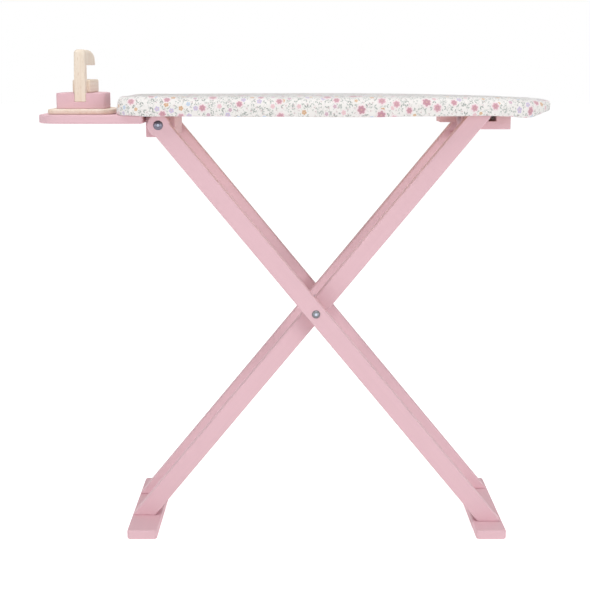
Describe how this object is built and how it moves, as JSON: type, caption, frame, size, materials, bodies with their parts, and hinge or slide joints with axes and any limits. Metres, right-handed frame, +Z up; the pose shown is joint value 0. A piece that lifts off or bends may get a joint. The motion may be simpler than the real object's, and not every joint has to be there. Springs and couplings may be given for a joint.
{
  "type": "toy ironing board with iron",
  "caption": "Folding wooden toy ironing board on crossed legs, with a padded printed cover, an iron rest and a wooden toy iron that lifts off.",
  "frame": {"origin": "on the floor, under the middle of the whole length and width", "axes": "+X along the board towards its nose, +Y across the board to the back, +Z up"},
  "size_m": [0.6748, 0.23, 0.6408],
  "materials": {
    "pink_paint": "satin pink paint",
    "natural_wood": "clear matt lacquer",
    "plywood": "raw",
    "foam": "open-cell foam",
    "cover_cloth": "printed cotton",
    "dark_steel": "dark plated",
    "bright_steel": "zinc plated",
    "brass": "plain"
  },
  "bodies": {
    "board": {"board_panel": "plywood", "board_pad": "foam", "board_cover": "cover_cloth", "iron_rest": "pink_paint", "rest_screws": "bright_steel", "hinge_block": "pink_paint", "hinge_block_screws": "bright_steel", "hinge_inserts": "brass", "hinge_bolts": "dark_steel", "hinge_spacers": "natural_wood", "catch_batten": "pink_paint", "catch_hook": "pink_paint", "catch_screws": "bright_steel"},
    "outer_frame": {"outer_leg_front": "pink_paint", "outer_leg_back": "pink_paint", "outer_foot": "pink_paint", "outer_foot_screws": "bright_steel"},
    "inner_frame": {"inner_leg_front": "pink_paint", "inner_leg_back": "pink_paint", "inner_foot": "pink_paint", "inner_foot_screws": "bright_steel", "inner_rung": "pink_paint", "crossing_bolts": "bright_steel", "crossing_spacers": "natural_wood", "crossing_nuts": "bright_steel"},
    "iron": {"iron_sole": "natural_wood", "iron_body": "pink_paint", "iron_handle": "natural_wood", "iron_handle_base": "natural_wood", "iron_dowels": "natural_wood", "iron_sole_screws": "bright_steel"}
  },
  "joints": [
    {"name": "leg_fold", "type": "hinge", "parent": "board", "child": "outer_frame", "pos_m": [-0.1801, 0, 0.5445], "axis": [0, -1, 0], "range_deg": [0, 45]},
    {"name": "leg_scissor", "type": "hinge", "parent": "outer_frame", "child": "inner_frame", "pos_m": [0.02345, 0, 0.29758], "axis": [0, -1, 0], "range_deg": [-90, 0]},
    {"name": "iron_lift", "type": "slide", "parent": "board", "child": "iron", "axis": [0, 0, 1], "range_m": [0, 0.08]}
  ],
  "couplings": [
    {"joint": "leg_scissor", "follows": "leg_fold", "ratio": -2}
  ]
}
